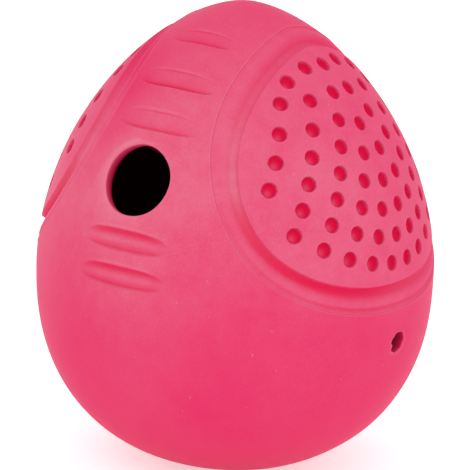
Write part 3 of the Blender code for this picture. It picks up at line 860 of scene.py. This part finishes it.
def rubber_finish():
    """Node group of the rubber's own look, shared by the body, the panels and the cover.

    Pale bloom lies over the rubber in clouds and fine mottling, thickest in a spot that stands in for a
    painted sheen and thinned in spots of painted shade. Hollows lose it and turn a deep red as painted
    shade, edges and slopes are painted paler partly as wear and partly as highlight, and the chamber is
    painted near black as its shade. Sparse pale specks of dust sit on it, and the grain of the mould gives
    the height.
    """
    tree = bpy.data.node_groups.new("rubber bloom and painted light", "ShaderNodeTree")
    color, number, vector = "NodeSocketColor", "NodeSocketFloat", "NodeSocketVector"
    sockets = {"INPUT": {"Place": vector, "Rubber": color, "Bloom": color, "Dust": color,
                         "Bloom Cover": number, "Recess": number, "Rub_and_sheen": number, "Inside": number,
                         "Shade Spots": number, "Sheen Middle": vector, "Sheen Reach": vector},
               "OUTPUT": {"Color": color, "Roughness": number, "Height": number}}
    for way, kinds in sockets.items():
        for name, kind in kinds.items():
            tree.interface.new_socket(name, in_out=way, socket_type=kind)
    given = tree.nodes.new("NodeGroupInput").outputs
    result = tree.nodes.new("NodeGroupOutput").inputs
    clouds, mottle, grain, specks = (blotches(tree, given["Place"], *kind)
                                     for kind in (CLOUDS, MOTTLE, GRAIN, SPECKS))

    # Bloom thickest at one spot stands in for a painted sheen; the spots of painted shade thin it.
    thickest = spot(tree, given["Place"], given["Sheen Middle"], given["Sheen Reach"])
    belt = summed(tree, BLOOM_LEAST_SHARE, (thickest, 1 - BLOOM_LEAST_SHARE))
    lasting = product(tree, belt, worked(tree, "SUBTRACT", 1.0, given["Shade Spots"]))
    patchy = summed(tree, EVEN_COVER, (clouds, CLOUD_COVER), (mottle, MOTTLE_COVER), (grain, GRAIN_COVER))
    open_share = worked(tree, "SUBTRACT", 1.0, given["Recess"])
    bloom = product(tree, patchy, lasting, given["Bloom Cover"], open_share)
    # Edges and slopes are made paler, partly as wear and partly as painted highlight.
    bloom = summed(tree, bloom, (given["Rub_and_sheen"], RUB_AND_SHEEN_COVER))
    dust = product(tree, specks, summed(tree, 1.0, (given["Recess"], -DUST_LOST)))
    # Painted shade: hollows turn deep red.
    shown = mixed(tree, given["Recess"], given["Rubber"], RECESS_SHADE_COLOR)
    shown = mixed(tree, bloom, shown, given["Bloom"])
    shown = mixed(tree, product(tree, dust, DUST_COVER), shown, given["Dust"])
    # Painted shade: the chamber turns near black.
    shown = mixed(tree, product(tree, given["Inside"], CHAMBER_SHADE_COVER), shown, CHAMBER_SHADE_COLOR)
    link(tree, shown, result["Color"])
    link(tree, summed(tree, RUBBER_ROUGHNESS, (mottle, MOTTLE_ROUGHNESS), (given["Rub_and_sheen"], RUB_AND_SHEEN_ROUGHNESS),
                      (given["Recess"], RECESS_ROUGHNESS)), result["Roughness"])
    link(tree, summed(tree, 0.0, (mottle, MOTTLE_HEIGHT), (grain, GRAIN_HEIGHT), (dust, DUST_HEIGHT)),
         result["Height"])
    return tree


RUBBER_FINISH = rubber_finish()


def rubber(name, rubber_color, bloom_cover, sheen_middle, sheen_reach, shade_spots=()):
    """Material of one rubber piece: the shared finish over a matt body colour.

    Bloom is thickest in one soft spot as a painted sheen, and each spot of painted shade has a centre, a
    reach and a strength and thins the bloom there.
    """
    material, tree = new_material(name)
    place = add_node(tree, "TexCoord", {})["Object"]
    lost = summed(tree, 0.0, *((spot(tree, place, *where), strength) for *where, strength in shade_spots))
    inputs = {"Place": place, "Rubber": rubber_color, "Bloom": BLOOM_COLOR, "Dust": DUST_COLOR,
              "Bloom Cover": bloom_cover, "Sheen Middle": sheen_middle, "Sheen Reach": sheen_reach,
              "Shade Spots": lost}
    for mark in Skin.MARKS:
        inputs[mark.capitalize()] = add_node(tree, "Attribute", {}, attribute_name=mark)["Fac"]
    finish = add_node(tree, "Group", inputs, node_tree=RUBBER_FINISH)
    normal = add_node(tree, "Bump", {"Height": finish["Height"], **RUBBER_BUMP})["Normal"]
    dress(tree, {"Base Color": finish["Color"], "Roughness": finish["Roughness"], "Normal": normal,
                 "Specular IOR Level": RUBBER_SPECULAR})
    return material


rubber_body.data.materials.append(
    rubber("pink_rubber_body", BODY_COLOR, BODY_BLOOM_COVER, *BODY_SHEEN_SPOT, BODY_SHADE_SPOTS))
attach(rubber_body, "root")
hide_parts("egg_body")

# Side panels. Each is an oval rubber shell with a band and sixty dimples pressed in, bonded into its
# opening with its edge flush. The left one is the right one's mirror image.
PANEL_COLOR = (0.81, 0.011, 0.129, 1.0)
PANEL_BLOOM_COVER = 0.143
# The panel's bloom is thickest towards its front as a painted sheen, and thinned at the left panel's upper
# front as painted shade.
PANEL_SHEEN_SPOT = ((0.0, -0.022, 0.072), (1.0, 0.043, 0.044))
PANEL_SHADE_SPOTS = (((-0.0135, -0.020, 0.099), (0.009, 0.014, 0.011), 0.90),)
BAND_WIDTH = 0.0063
BAND_RINGS = 30
GROOVE_DEPTH = 0.0013
GROOVE_PROFILE = ((0.0, 0.035, 0.10, 0.20, 0.29, 0.44, 0.59, 0.70, 1.0),
                  (0.0, 0.40, 0.90, 1.0, 0.96, 0.50, 0.16, 0.08, 0.0))
JOINT_DIP_PROFILE = ((0.729, 0.884, 1.0), (0.0, 0.42, 0.0))
JOINT_DIP_LEAST_SHARE = 0.30
GROOVE_STEEP = 2.0
GROOVE_UP_WAY = (-0.2, 0.9)
# The groove's hollow, back, low and wall values paint shade into it, and its slope and front values paint a
# sheen.
GROOVE_HOLLOW_RECESS = 0.20
GROOVE_BACK_RECESS = 0.25
GROOVE_LOW_RECESS = 1.10
GROOVE_LOW_GROWTH = 7.0
GROOVE_LOW_FALL = 0.66
GROOVE_WALL_RECESS = 0.25
GROOVE_SLOPE_SHEEN = 0.14
GROOVE_FRONT_SHEEN = 0.90
DOME_RINGS = 32
CORE_STEPS = 192
CORE_SHARE = 0.70
CORE_SQUARENESS = 0.6
BACK_SHARES = (0.35, 0.7, 1.0)
DIMPLE_RADIUS = 0.0018
DIMPLE_DEPTH = 0.0015
DIMPLE_PIT_POWER = 5.0
DIMPLE_RIM_ROUND = 0.045
DIMPLE_PITCH = 0.0060
DIMPLE_CENTRE_DROP = 0.0111
DIMPLE_EDGE_MARGIN = 0.0034
DIMPLE_RING_COUNT = 8
DIMPLE_RING_LIMIT = radians(78)
DIMPLE_SHOULDER_SHARE = 1.05
DIMPLE_SHOULDER_TURN = radians(80)
DIMPLE_FIELD_PULL = ((1.017, 0.005), (-0.010, 1.004))
DIMPLE_FIELD_DRIFT = (0.00019, -0.00005)
# The dimples' deep, floor, rim and crease values paint shade in the pits, highlights on their floor and rim,
# and a dark crease of shade.
DIMPLE_DEEP_FROM = 0.01
DIMPLE_DEEP_TO = 0.25
DIMPLE_FLOOR_HIGHLIGHT = 0.75
DIMPLE_FLOOR_WIDTH = 0.50 * DIMPLE_RADIUS
DIMPLE_FLOOR_SHIFT = (0.0, -0.00055, -0.00065)
DIMPLE_RIM_HIGHLIGHT = 0.15
DIMPLE_RIM_SHARE = 1.10
DIMPLE_RIM_WIDTH = 0.10
DIMPLE_CREASE_SHADE = 0.24
DIMPLE_CREASE_SHARE = 0.95
DIMPLE_CREASE_WIDTH = 0.09


def oval_share(outline, across, height):
    """How far out a place lies in an oval: 0 at its waist's middle, 1 on its edge."""
    half_width, bottom, top = outline
    waist = bottom + PANEL_WAIST_SHARE * (top - bottom)
    above = height >= waist
    power = np.where(above, PANEL_UPPER_POWER, PANEL_LOWER_POWER)
    reach = np.where(above, top - waist, waist - bottom)
    return (np.abs(across / half_width) ** power + np.abs((height - waist) / reach) ** power) ** (1 / power)


def dimple_places(field):
    """Centres of the dimples inside an oval: hexagonal rings round a point low on the crown."""
    centre = EGG_HEIGHT - DIMPLE_CENTRE_DROP
    places = [np.array([[0.0, centre]])]
    for ring in range(1, DIMPLE_RING_COUNT):
        step = pi / 3 / ring
        start = 0.0 if ring % 2 == 0 else step / 2
        angle = start + step * np.arange(-3 * ring, 3 * ring + 1)
        angle = angle[np.abs(angle) <= DIMPLE_RING_LIMIT]
        reach = ring * DIMPLE_PITCH
        places.append(np.stack([reach * np.sin(angle), centre - reach * np.cos(angle)], axis=-1))
    places = np.concatenate(places)
    places = places[oval_share(field, places[:, 0], places[:, 1]) <= 1]
    shoulder = 2 * DIMPLE_PITCH * DIMPLE_SHOULDER_SHARE
    extra = [[side * DIMPLE_PITCH, centre] for side in (-1, 1)]
    extra += [[side * shoulder * sin(DIMPLE_SHOULDER_TURN), centre - shoulder * cos(DIMPLE_SHOULDER_TURN)]
              for side in (-1, 1)]
    places = np.concatenate([places, extra])
    middle = np.array([0.0, PANEL_MIDDLE])
    return middle + (places - middle) @ np.transpose(DIMPLE_FIELD_PULL) + DIMPLE_FIELD_DRIFT


def nearest(points, centres):
    """Distance from each point to the nearest of some centres."""
    return np.min([np.linalg.norm(points - centre, axis=-1) for centre in centres], axis=0)


def dimple_relief(points, centres):
    """Depth, recess, rub and inside of the dimples: D (1 - x^p) for x radii from the nearest centre.

    The rim is rounded by a soft maximum with 0. The walls are bare of bloom and painted deep red as shade, a
    painted highlight lies low at the front of the floor, the rim carries a painted highlight, and a thin
    painted shade darkens the crease just inside it.
    """
    share = nearest(points, centres) / DIMPLE_RADIUS
    sunk = (1 - share ** DIMPLE_PIT_POWER) / DIMPLE_RIM_ROUND
    depth = DIMPLE_DEPTH * DIMPLE_RIM_ROUND * np.logaddexp(0, sunk)
    deep = (depth / DIMPLE_DEPTH - DIMPLE_DEEP_FROM) / (DIMPLE_DEEP_TO - DIMPLE_DEEP_FROM)
    on_floor = bell(nearest(points - DIMPLE_FLOOR_SHIFT, centres), 0, DIMPLE_FLOOR_WIDTH)
    # Painted shade in the pit, lifted by a painted highlight on the front of its floor.
    recess = np.clip(deep, 0, 1) * (1 - DIMPLE_FLOOR_HIGHLIGHT * on_floor)
    # Painted highlight on the rim, and painted shade in the crease within it.
    rub_and_sheen = DIMPLE_RIM_HIGHLIGHT * bell(share, DIMPLE_RIM_SHARE, DIMPLE_RIM_WIDTH)
    return depth, recess, rub_and_sheen, DIMPLE_CREASE_SHADE * bell(share, DIMPLE_CREASE_SHARE, DIMPLE_CREASE_WIDTH)


def groove_run(share, low):
    """Depth of the band at a share of its width: the groove, and a dip by the joint, deeper below."""
    groove = smooth_run(*GROOVE_PROFILE, np.clip(share, 0, 1))
    dip_shares, dip_depths = JOINT_DIP_PROFILE
    dip = smooth_run(dip_shares, dip_depths, np.clip(share, dip_shares[0], dip_shares[-1]))
    return groove + dip * (JOINT_DIP_LEAST_SHARE + (1 - JOINT_DIP_LEAST_SHARE) * low)


def groove_relief(share, turn):
    """Depth, recess and rub of the band's groove, from the dome at 0 to the joint line at 1.

    The wall falls from the dome, a cove rises to a low bead, and a shallow dip lies by the joint. The hollow
    is painted with shade, darkest below and most of all towards the front, and with some at the back. A
    painted sheen lies on the slopes that face up and in the middle of the front.
    """
    low, front, back = (np.maximum(way, 0) for way in (-np.sin(turn), -np.cos(turn), np.cos(turn)))
    depth, before, after = (groove_run(np.full(turn.shape, share + step), low)
                            for step in (0, -SLOPE_STEP, SLOPE_STEP))
    uphill = GROOVE_UP_WAY[0] * np.cos(turn) + GROOVE_UP_WAY[1] * np.sin(turn)
    upward = np.tanh((after - before) / (2 * SLOPE_STEP) / GROOVE_STEEP) * uphill
    below = (1 - np.exp(-GROOVE_LOW_GROWTH * low)) * (1 - GROOVE_LOW_FALL * (1 + np.cos(turn))).clip(0)
    # Painted shade in the groove's hollow, darkest below.
    shade = (GROOVE_HOLLOW_RECESS * (1 - front ** 2) + GROOVE_BACK_RECESS * back
             + GROOVE_LOW_RECESS * below)
    recess = shade * depth + GROOVE_WALL_RECESS * np.maximum(-upward, 0) ** 2
    # Painted sheen on slopes that face up and in the middle of the front.
    mid_front = (1 - np.abs(np.sin(turn))) ** 2 * (front > 0)
    rub_and_sheen = GROOVE_SLOPE_SHEEN * np.maximum(upward, 0) + GROOVE_FRONT_SHEEN * mid_front * depth
    return GROOVE_DEPTH * depth, np.clip(recess, 0, 1), rub_and_sheen


def core_places(outline, steps):
    """Rounded square of places about the panel's middle: a square whose sides are pulled in."""
    half_width, bottom, top = outline
    line = np.linspace(-1, 1, steps + 1)
    down, along = np.meshgrid(line, line, indexing="ij")
    across = along * np.sqrt(1 - CORE_SQUARENESS * down ** 2 / 2)
    rise = down * np.sqrt(1 - CORE_SQUARENESS * along ** 2 / 2)
    return CORE_SHARE * half_width * across, PANEL_MIDDLE + CORE_SHARE * (top - bottom) / 2 * rise


def panel(name, side):
    """One panel: dimpled dome, grooved band and flush edge outside, plain shell inside."""
    skin = Skin()
    way = np.array([side, 1.0, 1.0])
    dome = inset_outline(JOINT_LINE, BAND_WIDTH)
    edge = inset_outline(JOINT_LINE, VISIBLE_GAP)
    plug = inset_outline(JOINT_LINE, LAP_WIDTH + BOND_GAP)
    centres = dimple_places(inset_outline(JOINT_LINE, BAND_WIDTH + DIMPLE_EDGE_MARGIN))
    centres = side_point(centres[:, 0], centres[:, 1])

    def dimpled_dome(across, height):
        """Points of the outside with the dimples in."""
        points = side_point(across, height)
        depth, *marks = dimple_relief(points, centres)
        return skin.place((points - depth[..., None] * egg_normal(points)) * way, *marks)

    def plain_back(across, height):
        """Points of the inside, one wall in."""
        return skin.place_inside(side_point(across, height, WALL) * way)

    def cap(lay, steps, outline, shares):
        """Square core and the rings round it, out to an oval: their turns and their numbers."""
        across, height = core_places(dome, steps)
        core = lay(across, height)
        skin.cover(core)
        block = (0, steps, 0, steps)
        across, rise = edge_loop(across, *block), edge_loop(height, *block) - PANEL_MIDDLE
        turn, start = np.arctan2(rise, across), np.hypot(across, rise)
        rings = [edge_loop(core, *block)]
        for share in shares:
            reach = start + share * (oval_reach(outline, turn) - start)
            rings.append(lay(reach * np.cos(turn), PANEL_MIDDLE + reach * np.sin(turn)))
        return turn, rings

    turn, rings = cap(dimpled_dome, CORE_STEPS, dome, even_shares(DOME_RINGS))
    shoulder_width = VISIBLE_GAP + EDGE_ROUND
    for share in even_shares(BAND_RINGS):
        outline = inset_outline(JOINT_LINE, shoulder_width + (BAND_WIDTH - shoulder_width) * (1 - share))
        depth, *marks = groove_relief(share, turn)
        rings.append(skin.place(oval_ring(outline, turn, depth) * way, *marks))
    # Painted highlight on the panel's rounded edge, and painted shade down it into the gap.
    for share, ring in rounded_edge(edge, turn, outwards=False):
        rings.append(skin.place(ring * way, JOINT_RECESS * share, 1 - share))
    rings.append(skin.place(oval_ring(edge, turn, LAP_DEPTH - BOND_GAP) * way, 1.0))
    rings.append(skin.place(oval_ring(plug, turn, LAP_DEPTH - BOND_GAP) * way, 1.0))
    rings.append(skin.place_inside(oval_ring(plug, turn, WALL - LAP_STEP) * way))
    skin.cover(np.stack(rings), around=True)

    _, back_rings = cap(plain_back, CORE_STEPS // COARSER, plug, BACK_SHARES)
    skin.cover(np.stack(back_rings), around=True)
    skin.stitch(rings[-1], back_rings[-1])
    return skin.piece(name)


PANEL_RUBBER = rubber("pink_rubber_panel", PANEL_COLOR, PANEL_BLOOM_COVER, *PANEL_SHEEN_SPOT, PANEL_SHADE_SPOTS)
for node, side in (("right_panel", 1.0), ("left_panel", -1.0)):
    dimpled = panel("dimpled_" + node, side)
    dimpled.data.materials.append(PANEL_RUBBER)
    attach(dimpled, "root")
    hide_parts(node)

# Ballast. A plain disc of turned steel with a wide bevel round its bottom rights the egg. It is
# bonded into the pocket at the bottom of the bowl.
DISC_SEGMENTS = 96
DISC_ROUND = 0.0003
STEEL_COLOR = (0.33, 0.34, 0.35, 1.0)
STAIN_COLOR = (0.26, 0.25, 0.25, 1.0)
STAINS = (0.008, 3.0, (0.35, 0.65), 0.0)
TURNING_MARKS = {"Scale": 900.0, "Distortion": 1.5}
STEEL_ROUGHNESS = 0.30
MARK_ROUGHNESS = 0.12
STEEL_BUMP = {"Strength": 0.3, "Distance": 0.00003}


def disc(name, low, high, bevel):
    """Turned disc that fills a box, with a bevel round its bottom and a small one round its top."""
    skin = Skin()
    turn = np.linspace(0, 2 * pi, DISC_SEGMENTS, endpoint=False)
    profile = ((high.x - bevel, low.z), (high.x, low.z + bevel),
               (high.x, high.z - DISC_ROUND), (high.x - DISC_ROUND, high.z))
    rings = skin.place_inside(np.stack([level_ring(radius, height, turn) for radius, height in profile]))
    skin.cover(rings, around=True)
    skin.close(rings[0], low.z)
    skin.close(rings[-1], high.z)
    return skin.piece(name, uneven=False)


def brushed_steel():
    """Turned steel: fine rings round the axis, with a little spread in their roughness."""
    material, tree = new_material("turned_steel")
    place = add_node(tree, "TexCoord", {})["Object"]
    rings = add_node(tree, "TexWave", {"Vector": place, **TURNING_MARKS},
                     wave_type="RINGS", rings_direction="Z")["Fac"]
    stain = blotches(tree, place, *STAINS)
    dress(tree, {"Base Color": mixed(tree, stain, STEEL_COLOR, STAIN_COLOR), "Metallic": 1.0,
                 "Roughness": summed(tree, STEEL_ROUGHNESS, (rings, MARK_ROUGHNESS)),
                 "Normal": add_node(tree, "Bump", {"Height": rings, **STEEL_BUMP})["Normal"]})
    return material


weight = disc("ballast_disc", WEIGHT_LOW, WEIGHT_HIGH, WEIGHT_CHAMFER)
weight.data.materials.append(brushed_steel())
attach(weight, "root")
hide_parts("base_weight")

# Cover of the ballast. A moulded rubber disc, bonded into the wider upper part of the pocket, level
# with the chamber's floor, keeps the treats away from the steel.
COVER_BLOOM_COVER = 0.04
# Its points face the chamber, so it is painted near black as the chamber's shade.
cover = disc("ballast_cover", COVER_LOW, COVER_HIGH, DISC_ROUND)
cover.data.materials.append(rubber("pink_rubber_cover", BODY_COLOR, COVER_BLOOM_COVER, *BODY_SHEEN_SPOT))
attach(cover, "root")
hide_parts("weight_cover")

# Floor, light and camera. A wide pale floor takes the egg's soft shadow. One soft lamp stands in
# front and above, another at the egg's right side, with an even fill, and a long lens looks slightly down.
FLOOR_HALF = 6.0
FLOOR_ALBEDO = 0.94
FLOOR_ROUGHNESS = 0.9
FLOOR_LIFT = 0.50
# The floor's faint glow on unseen rays is painted light on the egg's underside.
FLOOR_GLOW = 0.13
WORLD_FILL = 0.905
LAMPS = (("key", 12, 46, 1.4), ("side_fill", 80, 18, 1.1))
LAMP_SIZE = 0.6
LAMP_DISTANCE = 1.6
VIEW_AIM = Vector((0.0, 0.0, 0.0492))
VIEW_AZIMUTH = radians(34.854)
VIEW_ELEVATION = radians(16.427)
VIEW_DISTANCE = 0.93925
VIEW_ROLL = radians(1.85)
VIEW_RAISE = 0.00449
VIEW_SIDE = -0.00010
LENS = 307.40


def grey(value):
    """Opaque grey."""
    return value, value, value, 1.0


def seen_share(tree):
    """1 on rays that carry what is seen: from the camera, off gloss or through glass."""
    ray = add_node(tree, "LightPath", {})
    shown = worked(tree, "MAXIMUM", ray["Is Camera Ray"], ray["Is Glossy Ray"])
    return worked(tree, "MAXIMUM", shown, ray["Is Transmission Ray"])


def floor_paint():
    """Pale matt floor, lifted towards white where it is seen, so that its shadow stays soft; on all other
    rays it glows faintly, a painted glow that lights the egg from below.
    """
    material, tree = new_material("pale_floor")
    lift = mixed(tree, seen_share(tree), grey(FLOOR_GLOW), grey(FLOOR_LIFT))
    dress(tree, {"Base Color": grey(FLOOR_ALBEDO), "Roughness": FLOOR_ROUGHNESS, "Specular IOR Level": 0.0,
                 "Emission Color": lift, "Emission Strength": 1.0})
    return material


floor_mesh = bpy.data.meshes.new("pale_floor")
floor_mesh.from_pydata([(-FLOOR_HALF, -FLOOR_HALF, 0), (FLOOR_HALF, -FLOOR_HALF, 0),
                        (FLOOR_HALF, FLOOR_HALF, 0), (-FLOOR_HALF, FLOOR_HALF, 0)], [], [(0, 1, 2, 3)])
floor_mesh.materials.append(floor_paint())
pale_floor = bpy.data.objects.new("pale_floor", floor_mesh)
bpy.context.scene.collection.objects.link(pale_floor)

world = bpy.data.worlds.new("studio")
bpy.context.scene.world = world
world.use_nodes = True
sky = world.node_tree.nodes["Background"]
sky.inputs["Color"].default_value = grey(1.0)
link(world.node_tree, summed(world.node_tree, WORLD_FILL, (seen_share(world.node_tree), 1 - WORLD_FILL)),
     sky.inputs["Strength"])


def direction(azimuth, elevation):
    """Unit vector at an azimuth from -Y towards +X and an elevation."""
    return Vector((sin(azimuth) * cos(elevation), -cos(azimuth) * cos(elevation), sin(elevation)))


def soft_lamp(name, azimuth, elevation, power):
    """Round soft lamp that faces the egg."""
    light = bpy.data.lights.new(name, "AREA")
    light.shape = "DISK"
    light.size = LAMP_SIZE
    light.energy = power
    lamp = bpy.data.objects.new(name, light)
    towards = direction(azimuth, elevation)
    facing = towards.to_track_quat("Z", "Y").to_matrix().to_4x4()
    lamp.matrix_world = Matrix.Translation(VIEW_AIM + LAMP_DISTANCE * towards) @ facing
    bpy.context.scene.collection.objects.link(lamp)


for name, azimuth, elevation, power in LAMPS:
    soft_lamp(name, radians(azimuth), radians(elevation), power)

camera_data = bpy.data.cameras.new("view")
camera_data.lens = LENS
camera = bpy.data.objects.new("view", camera_data)
view_way = direction(VIEW_AZIMUTH, VIEW_ELEVATION)
facing = view_way.to_track_quat("Z", "Y").to_matrix() @ Matrix.Rotation(VIEW_ROLL, 3, "Z")
aim = VIEW_AIM + VIEW_SIDE * facing.col[0] + VIEW_RAISE * facing.col[1]
camera.matrix_world = Matrix.Translation(aim + VIEW_DISTANCE * view_way) @ facing.to_4x4()
bpy.context.scene.collection.objects.link(camera)
bpy.context.scene.camera = camera
bpy.context.scene.view_settings.view_transform = "Standard"
